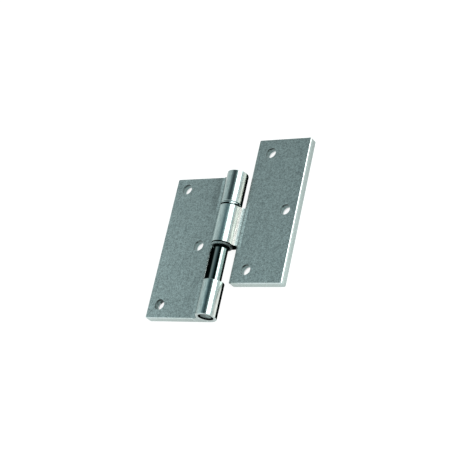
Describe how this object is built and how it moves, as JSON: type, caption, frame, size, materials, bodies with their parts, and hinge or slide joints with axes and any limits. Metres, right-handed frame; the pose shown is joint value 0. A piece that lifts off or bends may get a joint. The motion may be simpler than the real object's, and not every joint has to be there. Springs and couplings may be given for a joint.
{
  "type": "lift gate hinge",
  "caption": "Two-leaf gate hinge whose gate leaf slides up a long pin between fixed knuckles and turns on flanged bushes.",
  "frame": {"origin": "on the mounting plane of the leaf backs, straight behind the pin's axis, halfway along the overall length of the hinge with its lift leaf raised", "axes": "+X from the fixed leaf towards the lift leaf, +Y along the pin in the direction the lift leaf rises, +Z out of the mounting plane towards the front of the knuckles"},
  "size_m": [0.0978, 0.1282, 0.0155],
  "materials": {
    "leaf_steel": "fine satin leaves with bright turned knuckles",
    "pin_steel": "bright ground pin",
    "bush_steel": "dull turned steel"
  },
  "bodies": {
    "post_side": {"fixed_leaf": "leaf_steel", "hinge_pin": "pin_steel"},
    "sliding_bushes": {"lower_bush": "bush_steel", "upper_bush": "bush_steel"},
    "gate_side": {"lift_leaf": "leaf_steel"}
  },
  "joints": [
    {"name": "lift_slide", "type": "slide", "parent": "post_side", "child": "sliding_bushes", "axis": [0, 1, 0], "range_m": [-0.0245, 0]},
    {"name": "gate_swing", "type": "hinge", "parent": "sliding_bushes", "child": "gate_side", "pos_m": [0, 0, 0.0084], "axis": [0, -1, 0], "range_deg": [-95, 185]}
  ]
}
